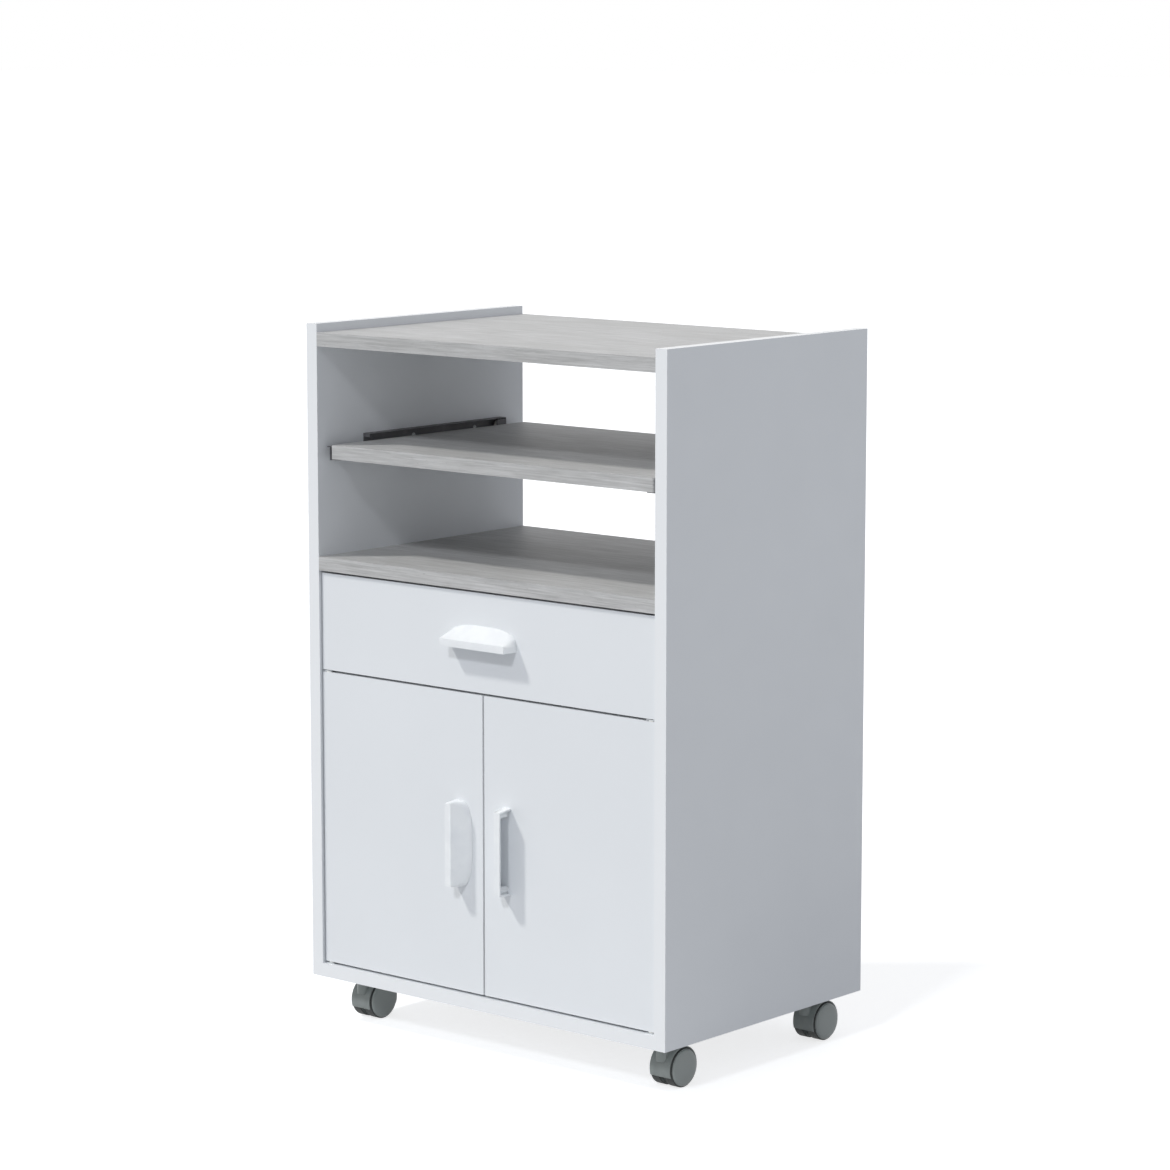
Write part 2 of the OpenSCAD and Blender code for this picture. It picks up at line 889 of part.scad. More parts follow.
module left_door() {
    color(white) door(-1);
}

module right_door() {
    color(white) door(1);
}

module left_door_handle() {
    color(pale_plastic) on_door_face(-1) pull_handle();
}

module right_door_handle() {
    color(pale_plastic) on_door_face(1) pull_handle();
}

module left_handle_screws() {
    color(steel) on_door_face(-1) handle_screw_pair();
}

module right_handle_screws() {
    color(steel) on_door_face(1) handle_screw_pair();
}

module left_pivot_bushes() {
    pivot_bushes(-1);
}

module right_pivot_bushes() {
    pivot_bushes(1);
}

module left_strike() {
    strike(-1);
}

module right_strike() {
    strike(1);
}

// bracket in the on_left frame: a tongue under the door and a flange on the side panel
module bracket(tongue, pin_from) {
    difference() {
        union() {
            box([0, front_set + bracket_v[0], 0], [bracket_u, front_set + bracket_v[1], tongue]);
            box([0, front_set + flange_v, 0], [bracket_t, front_set + bracket_v[1], flange_h]);
            translate([pivot_in, front_set + pivot_deep, 0])
                cylinder(r = pivot_r, h = pin_from + pivot_len, $fn = 24);
        }
        for (p = bracket_screws)
            translate([0, front_set + p[0], p[1]])
                rod_x(screw_r + seat_fit, -over, bracket_t + over, 16);
    }
}

module door_pivots() {
    color(steel) {
        in_bay(board_t) bracket(bracket_t, front_gap);
        in_bay(high_bracket) mirror([0, 0, 1]) bracket(tongue_t, tongue_t);
    }
}

module magnet_catches() {
    color(castor_grey)
        for (x = [-1, 1])
            translate([x * catch_x, inner_y + strike_t + catch_gap, base_z + board_t])
                difference() {
                    union() {
                        box([-catch_w / 2, 0, 0], [catch_w / 2, catch_d, catch_h]);
                        box([-catch_w / 2 - catch_ear, 1, 0],
                            [catch_w / 2 + catch_ear, catch_d - 1, 3]);
                    }
                    for (e = [-1, 1])
                        translate([e * (catch_w + catch_ear) / 2, catch_d / 2, -over])
                            cylinder(r = screw_r + seat_fit, h = 3 + 2 * over, $fn = 16);
                }
}

// ---- castors: the stem on the local Z axis, z from the floor, the wheels trail behind it

module castor_plate() {
    difference() {
        union() {
            translate([0, 0, -plate_t])
                linear_extrude(height = plate_t)
                    offset(r = plate_round, $fn = 32)
                        square(plate_w - 2 * plate_round, center = true);
            translate([0, 0, -plate_t - shoulder_h])
                cylinder(r = shoulder_r, h = shoulder_h + over, $fn = 28);
            translate([0, 0, stem_low - castor_h])
                cylinder(r = stem_r, h = castor_h - stem_low - over, $fn = 28);
        }
        castor_hole_places()
            translate([0, 0, -plate_t - over])
                cylinder(r = castor_screw_r + seat_fit, h = plate_t + 2 * over, $fn = 16);
    }
}

module castor_plates() {
    color(castor_grey) at_castors() castor_plate();
}

module castor_screws() {
    color(steel) at_castors() castor_hole_places()
        translate([0, 0, -plate_t]) rotate([180, 0, 0])
            screw(castor_screw_r, castor_head_r, castor_head_h, castor_screw_len);
}

module hood() {
    difference() {
        union() {
            translate([0, trail, axle_z]) rod_x(hood_r, -hood_w / 2, hood_w / 2, 64);
            translate([0, 0, socket_low])
                cylinder(r = socket_r, h = castor_h - plate_t - shoulder_h - socket_low, $fn = 32);
        }
        both()
            translate([0, trail, axle_z]) rod_x(pocket_r, hood_web / 2, hood_w / 2 + over, 64);
        translate([0, trail, axle_z]) rod_x(axle_r + seat_fit, -hood_w, hood_w, 24);
        translate([0, 0, bore_low])
            cylinder(r = stem_r + run_fit, h = castor_h - bore_low, $fn = 28);
        translate([0, trail, skirt_z])
            box([-hood_w, -2 * hood_r, -2 * hood_r], [hood_w, 2 * hood_r, 0]);
    }
}

module castor_axle() {
    translate([0, trail, axle_z])
        rod_x(axle_r, -hood_web / 2 - wheel_w + 2, hood_web / 2 + wheel_w - 2, 24);
}

// wheel on the +X side of the hood's middle wall: a tyre with a domed disc outside the hood
module castor_wheel() {
    x0 = hood_web / 2 + 0.4;
    x1 = x0 + wheel_w - disc_rise;
    dome = [for (a = [0:10:90]) [(wheel_r - disc_step) * pow(cos(a), 0.5),
        x1 + disc_rise * pow(sin(a), 0.7)]];
    translate([0, trail, axle_z]) rotate([0, 90, 0])
        difference() {
            rotate_extrude($fn = 64)
                polygon(concat([[0, x0], [wheel_r - tyre_round, x0], [wheel_r, x0 + tyre_round],
                    [wheel_r, x1 - tyre_round], [wheel_r - tyre_round, x1]], dome));
            translate([0, 0, x0 - over])
                cylinder(r = axle_r + run_fit, h = wheel_w - 1.6 + over, $fn = 24);
        }
}

module castor_at(sx, front) {
    translate([sx * castor_x, front ? front_y + castor_in_front : back_y - castor_in_back, 0])
        children();
}

// the two wheels of a castor: s is 1 for the wheel on the +X side
module wheel_at(sx, front, s) {
    color(castor_grey) castor_at(sx, front)
        mirror([s > 0 ? 0 : 1, 0, 0]) castor_wheel();
}

module hood_at(sx, front) {
    color(castor_grey) castor_at(sx, front) hood();
}

module axle_at(sx, front) {
    color(steel) castor_at(sx, front) castor_axle();
}

module hood_front_left() {
    hood_at(-1, true);
}

module axle_front_left() {
    axle_at(-1, true);
}

module wheel_front_left_outer() {
    wheel_at(-1, true, -1);
}

module wheel_front_left_inner() {
    wheel_at(-1, true, 1);
}

module hood_front_right() {
    hood_at(1, true);
}

module axle_front_right() {
    axle_at(1, true);
}

module wheel_front_right_outer() {
    wheel_at(1, true, 1);
}

module wheel_front_right_inner() {
    wheel_at(1, true, -1);
}

module hood_back_left() {
    hood_at(-1, false);
}

module axle_back_left() {
    axle_at(-1, false);
}

module wheel_back_left_outer() {
    wheel_at(-1, false, -1);
}

module wheel_back_left_inner() {
    wheel_at(-1, false, 1);
}

module hood_back_right() {
    hood_at(1, false);
}

module axle_back_right() {
    axle_at(1, false);
}

module wheel_back_right_outer() {
    wheel_at(1, false, 1);
}

module wheel_back_right_inner() {
    wheel_at(1, false, -1);
}

left_side_panel();
right_side_panel();
top_board();
fixed_shelf();
bottom_board();
back_panel();
cam_locks();
cam_bolts();
dowels();
shelf_rails();
drawer_rails();
case_screws();
door_pivots();
magnet_catches();
castor_plates();
castor_screws();
shelf_front_rollers();
shelf_rear_rollers();
drawer_front_rollers();
drawer_rear_rollers();
pull_out_shelf();
shelf_slides();
shelf_screws();
drawer_front();
drawer_side_left();
drawer_side_right();
drawer_back();
drawer_bottom();
drawer_handle();
drawer_handle_screws();
drawer_slides();
drawer_screws();
drawer_fittings();
left_door();
left_door_handle();
left_handle_screws();
left_pivot_bushes();
left_strike();
right_door();
right_door_handle();
right_handle_screws();
right_pivot_bushes();
right_strike();
hood_front_left();
axle_front_left();
wheel_front_left_outer();
wheel_front_left_inner();
hood_front_right();
axle_front_right();
wheel_front_right_outer();
wheel_front_right_inner();
hood_back_left();
axle_back_left();
wheel_back_left_outer();
wheel_back_left_inner();
hood_back_right();
axle_back_right();
wheel_back_right_outer();
wheel_back_right_inner();
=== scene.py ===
# Two-door kitchen cart on castors: finishes, edges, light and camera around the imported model.
# Blender 4.5, metres, the front faces -Y, the origin is on the floor under the middle.
import json
import math

import bpy
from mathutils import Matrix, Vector

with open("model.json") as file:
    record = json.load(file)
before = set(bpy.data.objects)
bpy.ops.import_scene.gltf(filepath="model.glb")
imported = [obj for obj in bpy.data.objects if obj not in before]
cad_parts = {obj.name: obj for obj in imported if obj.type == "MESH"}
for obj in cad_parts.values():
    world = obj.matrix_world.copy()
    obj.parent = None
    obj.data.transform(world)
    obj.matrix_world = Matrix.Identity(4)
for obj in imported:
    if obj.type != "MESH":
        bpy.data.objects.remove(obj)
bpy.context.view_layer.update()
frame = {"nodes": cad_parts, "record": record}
nodes = frame["nodes"]
mm = 0.001
print("frame loaded:", len(nodes), "nodes")


def linear(hexColour):
    # sRGB hex to the linear colour that Blender's sockets take
    channels = [int(hexColour[i:i + 2], 16) / 255 for i in (1, 3, 5)]
    return [c / 12.92 if c <= 0.04045 else ((c + 0.055) / 1.055) ** 2.4 for c in channels] + [1.0]


def perMetre(*sizes):
    # pattern sizes in mm to the texture scale that gives them
    scales = [1000 / size for size in sizes]
    return scales if len(scales) > 1 else scales[0]


def span(side, pair):
    # a pair of values as the two settings of one side of a range node
    return {side + " Min": pair[0], side + " Max": pair[1]}


# sockets of a Mix node go by number: the factor, two plain values, two colours, the mixed colour
factor, valueA, valueB, colourA, colourB, mixed = 0, 2, 3, 6, 7, 2


def addNode(tree, kind, settings={}, links={}):
    # settings are node properties or socket values, links are socket: another node's output
    node = tree.nodes.new("ShaderNode" + kind)
    for name, value in settings.items():
        if isinstance(name, int) or name in node.inputs:
            node.inputs[name].default_value = value
        else:
            setattr(node, name, value)
    for name, source in links.items():
        tree.links.new(source, node.inputs[name])
    return node


def startMaterial(name, surface):
    # an empty material with its shader and the coordinates that stay with the piece
    material = bpy.data.materials.new(name)
    material.use_nodes = True
    tree = material.node_tree
    tree.nodes.clear()
    shader = addNode(tree, "BsdfPrincipled", surface)
    addNode(tree, "OutputMaterial", links={"Surface": shader.outputs["BSDF"]})
    return material, tree, shader, addNode(tree, "TexCoord")


def finishMaterial(tree, shader, colour, roughness, height, bump):
    # colour, gloss and relief are the three things that vary over a surface
    relief = addNode(tree, "Bump", {"Strength": bump["strength"], "Distance": bump["depth"] * mm},
                     {"Height": height})
    tree.links.new(colour, shader.inputs["Base Color"])
    tree.links.new(roughness, shader.inputs["Roughness"])
    tree.links.new(relief.outputs["Normal"], shader.inputs["Normal"])


# ---- boards

melamineLook = {
    "face": "#e9ecef",
    "shaded": "#e7eaed",
    "edgeBand": "#eff1f3",
    "ior": 1.5,
    "gloss": (0.34, 0.46),
    "bandGloss": 0.27,
    "sheetWave": 240,
    "waveTones": (0.35, 0.65),
    "handling": 35,
    "handledGloss": (0.3, 0.7),
    "bandFacing": (0.8, 0.4),
    "pearl": 2.2,
    "bump": {"strength": 0.25, "depth": 0.06},
}


def whiteMelamine(name, faceAxis):
    # Melamine foil pressed onto particle board with a pearl-grained plate, and an ABS edge band.
    # The eye gets an even satin white whose gloss breaks up softly, and edges a touch
    # whiter and shinier than the faces. The real pearl is about 0.5 mm, drawn at 2.2 mm to show.
    look = melamineLook
    material, tree, shader, place = startMaterial(name, {"IOR": look["ior"]})
    wave = addNode(tree, "TexNoise", {"Scale": perMetre(look["sheetWave"]), "Detail": 2},
                   {"Vector": place.outputs["Object"]})
    handled = addNode(tree, "TexNoise", {"Scale": perMetre(look["handling"]), "Detail": 4},
                      {"Vector": place.outputs["Object"]})
    pearl = addNode(tree, "TexNoise", {"Scale": perMetre(look["pearl"]), "Detail": 1},
                    {"Vector": place.outputs["Object"]})
    tone = addNode(tree, "MapRange", span("From", look["waveTones"]),
                   {"Value": wave.outputs["Fac"]})
    face = addNode(tree, "Mix",
                   {"data_type": "RGBA", colourA: linear(look["shaded"]),
                    colourB: linear(look["face"])},
                   {factor: tone.outputs["Result"]})
    normal = addNode(tree, "SeparateXYZ", links={0: place.outputs["Normal"]})
    across = addNode(tree, "Math", {"operation": "ABSOLUTE"}, {0: normal.outputs[faceAxis]})
    band = addNode(tree, "MapRange", span("From", look["bandFacing"]),
                   {"Value": across.outputs[0]})
    colour = addNode(tree, "Mix", {"data_type": "RGBA", colourB: linear(look["edgeBand"])},
                     {factor: band.outputs["Result"], colourA: face.outputs[mixed]})
    gloss = addNode(tree, "MapRange", {**span("From", look["handledGloss"]),
                                       **span("To", look["gloss"])},
                    {"Value": handled.outputs["Fac"]})
    bandGloss = addNode(tree, "Mix", {valueB: look["bandGloss"]},
                        {factor: band.outputs["Result"], valueA: gloss.outputs["Result"]})
    finishMaterial(tree, shader, colour.outputs[mixed], bandGloss.outputs[0],
                   pearl.outputs["Fac"], look["bump"])
    return material


cementLook = {
    "light": "#cecece",
    "middle": "#bebebd",
    "dark": "#9a9a99",
    "ior": 1.5,
    "gloss": (0.42, 0.6),
    "layers": {"cloud": ((150, 45, 45), 3), "streak": ((70, 2.4, 2.4), 5),
               "fibre": ((26, 1.5, 1.5), 3), "pit": ((7, 1.6, 1.6), 2)},
    "cloudTones": (0.36, 0.66),
    "streakTones": (0.34, 0.68),
    "streakMost": 0.75,
    "fibreTones": (0.58, 0.72),
    "fibreMost": 0.5,
    "pitTones": (0.66, 0.74),
    "pitMost": 0.55,
    "bump": {"strength": 0.35, "depth": 0.12},
}


def cementLaminate(name):
    # Printed cement-grey foil with a brushed plate behind it, pressed on particle board.
    # The eye gets pale grey clouds drawn out along the board, fine lengthwise streaks
    # and short darker pits. The real streaks are about 1 mm, drawn at 2.4 mm to show.
    look = cementLook
    material, tree, shader, place = startMaterial(name, {"IOR": look["ior"]})
    layers = {}
    for layer, (size, detail) in look["layers"].items():
        spread = addNode(tree, "Mapping", {"Scale": perMetre(*size)},
                         {"Vector": place.outputs["Object"]})
        layers[layer] = addNode(tree, "TexNoise", {"Scale": 1, "Detail": detail,
                                                   "Roughness": 0.6, "Distortion": 0.3},
                                {"Vector": spread.outputs["Vector"]}).outputs["Fac"]
    cloud = addNode(tree, "MapRange", span("From", look["cloudTones"]),
                    {"Value": layers["cloud"]})
    amounts = {layer: addNode(tree, "MapRange", {**span("From", look[layer + "Tones"]),
                                                 "To Max": look[layer + "Most"]},
                              {"Value": layers[layer]}).outputs["Result"]
               for layer in ("streak", "fibre", "pit")}
    base = addNode(tree, "Mix",
                   {"data_type": "RGBA", colourA: linear(look["middle"]),
                    colourB: linear(look["light"])},
                   {factor: cloud.outputs["Result"]})
    streaked = addNode(tree, "Mix", {"data_type": "RGBA", colourB: linear(look["dark"])},
                       {factor: amounts["streak"], colourA: base.outputs[mixed]})
    pale = addNode(tree, "Mix", {"data_type": "RGBA", colourB: linear(look["light"])},
                   {factor: amounts["fibre"], colourA: streaked.outputs[mixed]})
    colour = addNode(tree, "Mix", {"data_type": "RGBA", colourB: linear(look["dark"])},
                     {factor: amounts["pit"], colourA: pale.outputs[mixed]})
    gloss = addNode(tree, "MapRange", span("To", look["gloss"]), {"Value": layers["streak"]})
    relief = addNode(tree, "Math", {"operation": "SUBTRACT"},
                     {0: amounts["streak"], 1: amounts["pit"]})
    finishMaterial(tree, shader, colour.outputs[mixed], gloss.outputs["Result"],
                   relief.outputs[0], look["bump"])
    return material


hardboardLook = {
    "lacquer": "#e4e6e7",
    "primed": "#cfcbc2",
    "fibreTone": "#b9b2a4",
    "ior": 1.48,
    "gloss": (0.4, 0.55),
    "screen": 2.6,
    "unevenness": 0.15,
    "fibre": 6,
    "fibreTones": (0.4, 0.7),
    "frontFacing": 0.6,
    "frontRelief": 0.5,
    "bump": {"strength": 0.5, "depth": 0.15},
}


def lacqueredHardboard(name, faceAxis, smoothSide):
    # Wet-pressed hardboard, lacquered on its smooth side and thinly primed on the other.
    # The eye gets a flat satin white in front and a warmer back with the pressing screen's
    # weave. The real screen is about 1.5 mm, drawn at 2.6 mm to show.
    look = hardboardLook
    material, tree, shader, place = startMaterial(name, {"IOR": look["ior"]})
    fibre = addNode(tree, "TexNoise", {"Scale": perMetre(look["fibre"]), "Detail": 6,
                                       "Roughness": 0.7}, {"Vector": place.outputs["Object"]})
    spots = addNode(tree, "MapRange", span("From", look["fibreTones"]),
                    {"Value": fibre.outputs["Fac"]})
    primed = addNode(tree, "Mix",
                     {"data_type": "RGBA", colourA: linear(look["primed"]),
                      colourB: linear(look["fibreTone"])},
                     {factor: spots.outputs["Result"]})
    normal = addNode(tree, "SeparateXYZ", links={0: place.outputs["Normal"]})
    front = addNode(tree, "MapRange", span("From", (0, look["frontFacing"] * smoothSide)),
                    {"Value": normal.outputs[faceAxis]})
    colour = addNode(tree, "Mix", {"data_type": "RGBA", colourB: linear(look["lacquer"])},
                     {factor: front.outputs["Result"], colourA: primed.outputs[mixed]})
    screen = addNode(tree, "TexVoronoi", {"Scale": perMetre(look["screen"]),
                                          "Randomness": look["unevenness"]},
                     {"Vector": place.outputs["Object"]})
    relief = addNode(tree, "Mix", {valueB: look["frontRelief"]},
                     {factor: front.outputs["Result"], valueA: screen.outputs["Distance"]})
    gloss = addNode(tree, "MapRange", span("To", look["gloss"][::-1]),
                    {"Value": front.outputs["Result"]})
    finishMaterial(tree, shader, colour.outputs[mixed], gloss.outputs["Result"],
                   relief.outputs[0], look["bump"])
    return material


# ---- plastics

plasticPatches = {"tones": (0.4, 0.68), "gloss": (0.3, 0.7)}
plasticLooks = {
    # high-gloss ABS from a polished mould: bright white, with the faint waves of the mould steel.
    # The thin wall lets a little light through.
    "handle": {"name": "polished moulded ABS, white", "colour": "#f3f6f8", "worn": "#eceff2",
               "through": {"Subsurface Weight": 0.3, "Subsurface Scale": 0.004,
                           "Subsurface Radius": (1.0, 1.0, 1.0)},
               "ior": 1.54, "gloss": (0.16, 0.26), "grain": 14, "patch": 30,
               "bump": {"strength": 0.15, "depth": 0.08}},
    # satin polypropylene from a finely etched mould: soft grey with a dull sheen.
    # The etch is about 0.2 mm, drawn at 1.4 mm to show.
    "castor": {"name": "etched moulded polypropylene, grey",
               "colour": "#959b98", "worn": "#8d9390",
               "ior": 1.49, "gloss": (0.38, 0.52), "grain": 1.4, "patch": 12,
               "bump": {"strength": 0.3, "depth": 0.05}},
    # natural nylon from a plain mould: waxy off-white.
    # Its grain is finer than the render shows, so it is drawn at 1.6 mm.
    "roller": {"name": "moulded nylon, natural", "colour": "#ecebe5", "worn": "#dcdad2",
               "ior": 1.53, "gloss": (0.35, 0.5), "grain": 1.6, "patch": 5,
               "bump": {"strength": 0.2, "depth": 0.04}},
    # plain moulded ABS of a cupboard catch: matt mid grey.
    # Its grain is finer than the render shows, so it is drawn at 1.5 mm.
    "catch": {"name": "moulded ABS, grey", "colour": "#767b79", "worn": "#6c706f",
              "ior": 1.54, "gloss": (0.42, 0.55), "grain": 1.5, "patch": 8,
              "bump": {"strength": 0.25, "depth": 0.04}},
}


def mouldedPlastic(look):
    surface = {"IOR": look["ior"], **look.get("through", {})}
    material, tree, shader, place = startMaterial(look["name"], surface)
    patch = addNode(tree, "TexNoise", {"Scale": perMetre(look["patch"]), "Detail": 4},
                    {"Vector": place.outputs["Object"]})
    grain = addNode(tree, "TexNoise", {"Scale": perMetre(look["grain"]), "Detail": 2},
                    {"Vector": place.outputs["Object"]})
    tone = addNode(tree, "MapRange", span("From", plasticPatches["tones"]),
                   {"Value": patch.outputs["Fac"]})
    colour = addNode(tree, "Mix",
                     {"data_type": "RGBA", colourA: linear(look["colour"]),
                      colourB: linear(look["worn"])},
                     {factor: tone.outputs["Result"]})
    gloss = addNode(tree, "MapRange", {**span("From", plasticPatches["gloss"]),
                                       **span("To", look["gloss"])},
                    {"Value": patch.outputs["Fac"]})
    finishMaterial(tree, shader, colour.outputs[mixed], gloss.outputs["Result"],
                   grain.outputs["Fac"], look["bump"])
    return material


wheelLook = {
    "disc": "#9ea4a1",
    "tread": "#2b2e2d",
    "dust": "#434645",
    "ior": 1.49,
    "gloss": (0.36, 0.6),
    "discEdge": (0.935, 0.95),
    "scuff": 2.5,
    "scuffTones": (0.52, 0.68),
    "etch": 1.4,
    "bump": {"strength": 0.35, "depth": 0.06},
}


def wheelPolypropylene(name):
    # Moulded polypropylene wheel: a satin disc, and a tread dulled and dusted by the floor.
    # The eye gets a clean grey face with a darker, scuffed rim.
    # The etch is about 0.2 mm, drawn at 1.4 mm to show.
    look = wheelLook
    material, tree, shader, place = startMaterial(name, {"IOR": look["ior"]})
    # the piece's box runs from 0 to 1, so this puts 0 on the axle and 1 on the tread
    centred = addNode(tree, "Mapping", {"Location": (0, -1, -1), "Scale": (0, 2, 2)},
                      {"Vector": place.outputs["Generated"]})
    radius = addNode(tree, "VectorMath", {"operation": "LENGTH"}, {0: centred.outputs["Vector"]})
    rim = addNode(tree, "MapRange", span("From", look["discEdge"]),
                  {"Value": radius.outputs["Value"]})
    scuff = addNode(tree, "TexNoise", {"Scale": perMetre(look["scuff"]), "Detail": 5,
                                       "Roughness": 0.65}, {"Vector": place.outputs["Object"]})
    dusted = addNode(tree, "MapRange", span("From", look["scuffTones"]),
                     {"Value": scuff.outputs["Fac"]})
    tread = addNode(tree, "Mix",
                    {"data_type": "RGBA", colourA: linear(look["tread"]),
                     colourB: linear(look["dust"])},
                    {factor: dusted.outputs["Result"]})
    colour = addNode(tree, "Mix", {"data_type": "RGBA", colourA: linear(look["disc"])},
                     {factor: rim.outputs["Result"], colourB: tread.outputs[mixed]})
    gloss = addNode(tree, "MapRange", span("To", look["gloss"]),
                    {"Value": rim.outputs["Result"]})
    etch = addNode(tree, "TexNoise", {"Scale": perMetre(look["etch"]), "Detail": 2},
                   {"Vector": place.outputs["Object"]})
    finishMaterial(tree, shader, colour.outputs[mixed], gloss.outputs["Result"],
                   etch.outputs["Fac"], look["bump"])
    return material


# ---- metals and wood

zincLook = {
    "bright": "#cdd0d3",
    "dull": "#b4b8bc",
    "gloss": (0.22, 0.42),
    "spangle": 1.8,
    "spangleTones": (0.35, 0.65),
    "bump": {"strength": 0.2, "depth": 0.03},
}


def zincPlatedSteel(name):
    # Rolled and barrel-plated steel: bright, slightly blue, with a small cloudy spangle.
    look = zincLook
    material, tree, shader, place = startMaterial(name, {"Metallic": 1.0})
    spangle = addNode(tree, "TexNoise", {"Scale": perMetre(look["spangle"]), "Detail": 4},
                      {"Vector": place.outputs["Object"]})
    tone = addNode(tree, "MapRange", span("From", look["spangleTones"]),
                   {"Value": spangle.outputs["Fac"]})
    colour = addNode(tree, "Mix",
                     {"data_type": "RGBA", colourA: linear(look["bright"]),
                      colourB: linear(look["dull"])},
                     {factor: tone.outputs["Result"]})
    gloss = addNode(tree, "MapRange", span("To", look["gloss"]),
                    {"Value": tone.outputs["Result"]})
    finishMaterial(tree, shader, colour.outputs[mixed], gloss.outputs["Result"],
                   spangle.outputs["Fac"], look["bump"])
    return material


powderLook = {
    "coat": "#656568",
    "rubbed": "#737375",
    "ior": 1.5,
    "gloss": (0.42, 0.58),
    "peel": 2.0,
    "rub": 18,
    "rubTones": (0.5, 0.75),
    "bump": {"strength": 0.35, "depth": 0.08},
}


def powderCoatedSteel(name):
    # Folded steel strip with a baked dark grey powder coat: orange peel under a low sheen.
    # The peel is about 1 mm, drawn at 2 mm to show.
    look = powderLook
    material, tree, shader, place = startMaterial(name, {"IOR": look["ior"]})
    peel = addNode(tree, "TexNoise", {"Scale": perMetre(look["peel"]), "Detail": 2},
                   {"Vector": place.outputs["Object"]})
    rub = addNode(tree, "TexNoise", {"Scale": perMetre(look["rub"]), "Detail": 5},
                  {"Vector": place.outputs["Object"]})
    worn = addNode(tree, "MapRange", span("From", look["rubTones"]),
                   {"Value": rub.outputs["Fac"]})
    colour = addNode(tree, "Mix",
                     {"data_type": "RGBA", colourA: linear(look["coat"]),
                      colourB: linear(look["rubbed"])},
                     {factor: worn.outputs["Result"]})
    gloss = addNode(tree, "MapRange", span("To", look["gloss"][::-1]),
                    {"Value": worn.outputs["Result"]})
    finishMaterial(tree, shader, colour.outputs[mixed], gloss.outputs["Result"],
                   peel.outputs["Fac"], look["bump"])
    return material


beechLook = {
    "pale": "#d6b88a",
    "dark": "#b8935f",
    "ior": 1.5,
    "gloss": (0.5, 0.65),
    "grain": (14, 0.9, 0.9),
    "fleckTones": (0.4, 0.65),
    "bump": {"strength": 0.4, "depth": 0.1},
}


def turnedBeech(name):
    # Raw turned beech: warm, with short brown flecks along the dowel.
    look = beechLook
    material, tree, shader, place = startMaterial(name, {"IOR": look["ior"]})
    along = addNode(tree, "Mapping", {"Scale": perMetre(*look["grain"])},
                    {"Vector": place.outputs["Object"]})
    fleck = addNode(tree, "TexNoise", {"Scale": 1, "Detail": 4},
                    {"Vector": along.outputs["Vector"]})
    tone = addNode(tree, "MapRange", span("From", look["fleckTones"]),
                   {"Value": fleck.outputs["Fac"]})
    colour = addNode(tree, "Mix",
                     {"data_type": "RGBA", colourA: linear(look["pale"]),
                      colourB: linear(look["dark"])},
                     {factor: tone.outputs["Result"]})
    gloss = addNode(tree, "MapRange", span("To", look["gloss"]),
                    {"Value": tone.outputs["Result"]})
    finishMaterial(tree, shader, colour.outputs[mixed], gloss.outputs["Result"],
                   fleck.outputs["Fac"], look["bump"])
    return material


upright = whiteMelamine("pressed melamine, side panels", "X")
facing = whiteMelamine("pressed melamine, fronts", "Y")
level = whiteMelamine("pressed melamine, bottom board", "Z")
slotFinish = {
    "white_laminate": facing,
    "cement_laminate": cementLaminate("brushed cement laminate"),
    "white_hardboard": lacqueredHardboard("lacquered hardboard, back panel", "Y", -1),
    "beech": turnedBeech("raw turned beech"),
    "zinc_steel": zincPlatedSteel("zinc-plated steel"),
    "runner_coat": powderCoatedSteel("powder-coated steel, dark grey"),
    "roller_nylon": mouldedPlastic(plasticLooks["roller"]),
    "handle_plastic": mouldedPlastic(plasticLooks["handle"]),
    "catch_plastic": mouldedPlastic(plasticLooks["catch"]),
    "castor_plastic": mouldedPlastic(plasticLooks["castor"]),
    "wheel_plastic": wheelPolypropylene("moulded polypropylene wheel"),
}
nodeFinish = {
    "left_side_panel": upright,
    "right_side_panel": upright,
    "drawer_side_left": upright,
    "drawer_side_right": upright,
    "bottom_board": level,
    "drawer_bottom": lacqueredHardboard("lacquered hardboard, drawer bottom", "Z", 1),
}
print("materials made:", len(bpy.data.materials))

# ---- edges: how wide each finish rounds its edges, in mm
edgeRound = {
    "white_laminate": 0.9,
    "cement_laminate": 0.9,
    "white_hardboard": 0.25,
    "zinc_steel": 0.2,
    "runner_coat": 0.3,
    "handle_plastic": 0.9,
    "catch_plastic": 0.4,
    "castor_plastic": 0.45,
    "wheel_plastic": 0.4,
    "roller_nylon": 0.3,
}
edgeLook = {"angle": 35, "segments": 3, "weld": 0.004, "flatWeight": 80}


def roundEdges(piece, width):
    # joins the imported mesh's split corners, rounds its edges and keeps the flats flat
    weld = piece.modifiers.new("weld", "WELD")
    weld.merge_threshold = edgeLook["weld"] * mm
    bevel = piece.modifiers.new("edge round", "BEVEL")
    bevel.width = width * mm
    bevel.segments = edgeLook["segments"]
    bevel.limit_method = "ANGLE"
    bevel.angle_limit = math.radians(edgeLook["angle"])
    bevel.use_clamp_overlap = True
    flats = piece.modifiers.new("flat faces", "WEIGHTED_NORMAL")
    flats.keep_sharp = False
    flats.weight = edgeLook["flatWeight"]


for subpart in frame["record"]["subparts"]:
    name, slot = subpart["node"], subpart["material_slot"]
    piece = nodes[name]
    finish = nodeFinish.get(name, slotFinish[slot])
    piece.data.materials.clear()
    piece.data.materials.append(finish)
    for polygon in piece.data.polygons:
        polygon.use_smooth = True
    if slot in edgeRound:
        roundEdges(piece, edgeRound[slot])
print("finishes and edges on")

# ---- studio: pale floor, white surround, a key from the upper left and a weaker one in front

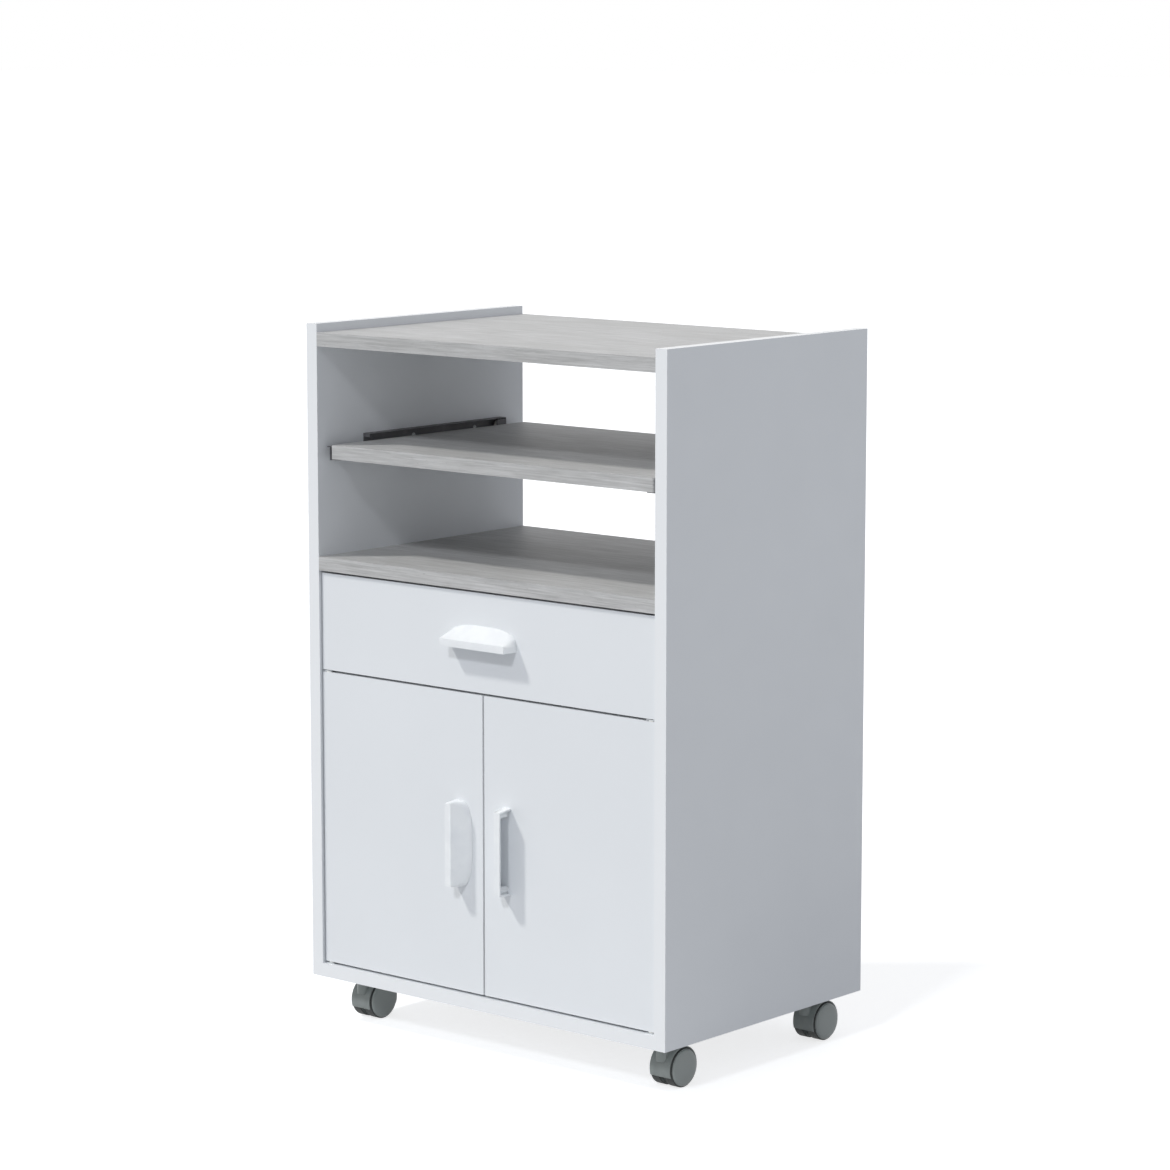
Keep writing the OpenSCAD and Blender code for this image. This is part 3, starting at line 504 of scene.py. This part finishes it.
studio = {
    "floorHalf": 60.0,
    "floorColour": "#c4c6c8",
    "floorGlow": 0.74,
    "skyColour": "#f6f8ff",
    "skyStrength": 0.42,
}
lamps = {
    "key, upper left": {"from": (-1.06, -1.0, 1.71), "strength": 1.54, "spread": 5,
                        "colour": "#fffdf8"},
    "fill, front": {"from": (0.23, -1.0, 0.86), "strength": 0.82, "spread": 7,
                    "colour": "#f8fbff"},
}


def seenDirectly(tree):
    # 1 where the camera, a mirror or glass sees the surface, 0 where it only lights the cart
    ray = addNode(tree, "LightPath")
    mirrored = addNode(tree, "Math", {"operation": "MAXIMUM"},
                       {0: ray.outputs["Is Camera Ray"], 1: ray.outputs["Is Glossy Ray"]})
    return addNode(tree, "Math", {"operation": "MAXIMUM"},
                   {0: mirrored.outputs[0], 1: ray.outputs["Is Transmission Ray"]}).outputs[0]


def makeFloor():
    half = studio["floorHalf"]
    mesh = bpy.data.meshes.new("floor")
    mesh.from_pydata([(-half, -half, 0), (half, -half, 0), (half, half, 0), (-half, half, 0)],
                     [], [(0, 1, 2, 3)])
    floor = bpy.data.objects.new("floor", mesh)
    bpy.context.scene.collection.objects.link(floor)
    material = bpy.data.materials.new("pale studio floor")
    material.use_nodes = True
    tree = material.node_tree
    tree.nodes.clear()
    matt = addNode(tree, "BsdfDiffuse", {"Color": linear(studio["floorColour"])})
    glowLevel = addNode(tree, "Math", {"operation": "MULTIPLY", 1: studio["floorGlow"]},
                        {0: seenDirectly(tree)})
    glow = addNode(tree, "Emission", links={"Strength": glowLevel.outputs[0]})
    both = addNode(tree, "AddShader", links={0: matt.outputs[0], 1: glow.outputs[0]})
    addNode(tree, "OutputMaterial", links={"Surface": both.outputs[0]})
    mesh.materials.append(material)


def makeSky():
    world = bpy.data.worlds.new("white surround")
    bpy.context.scene.world = world
    world.use_nodes = True
    tree = world.node_tree
    tree.nodes.clear()
    light = addNode(tree, "Background", {"Color": linear(studio["skyColour"]),
                                         "Strength": studio["skyStrength"]})
    white = addNode(tree, "Background", {"Color": (1, 1, 1, 1), "Strength": 1.0})
    seen = addNode(tree, "MixShader", links={0: seenDirectly(tree), 1: light.outputs[0],
                                             2: white.outputs[0]})
    addNode(tree, "OutputWorld", links={"Surface": seen.outputs[0]})


def makeLamp(name, look):
    # from points to where the light stands, spread is the softness of its shadows in degrees
    light = bpy.data.lights.new(name, "SUN")
    light.energy = look["strength"]
    light.angle = math.radians(look["spread"])
    light.color = linear(look["colour"])[:3]
    lamp = bpy.data.objects.new(name, light)
    lamp.rotation_mode = "QUATERNION"
    lamp.rotation_quaternion = Vector(look["from"]).to_track_quat("Z", "Y")
    bpy.context.scene.collection.objects.link(lamp)


makeFloor()
makeSky()
for name, look in lamps.items():
    makeLamp(name, look)
print("studio lit")

# ---- camera: a long lens from the front right, place in metres, angles in degrees, lens in mm
cameraLook = {
    "place": (3.197, -3.732, 1.323),
    "azimuth": 40.51,
    "elevation": 8.49,
    "lens": 118.8,
    "sensor": 36.0,
    "farClip": 300,
}


def makeCamera():
    view = bpy.data.cameras.new("camera")
    view.lens = cameraLook["lens"]
    view.sensor_width = cameraLook["sensor"]
    view.sensor_fit = "HORIZONTAL"
    view.clip_end = cameraLook["farClip"]
    camera = bpy.data.objects.new("camera", view)
    camera.location = cameraLook["place"]
    camera.rotation_euler = (math.radians(90 - cameraLook["elevation"]), 0,
                             math.radians(cameraLook["azimuth"]))
    bpy.context.scene.collection.objects.link(camera)
    bpy.context.scene.camera = camera


makeCamera()
bpy.context.scene.view_settings.view_transform = "Standard"
print("camera set")
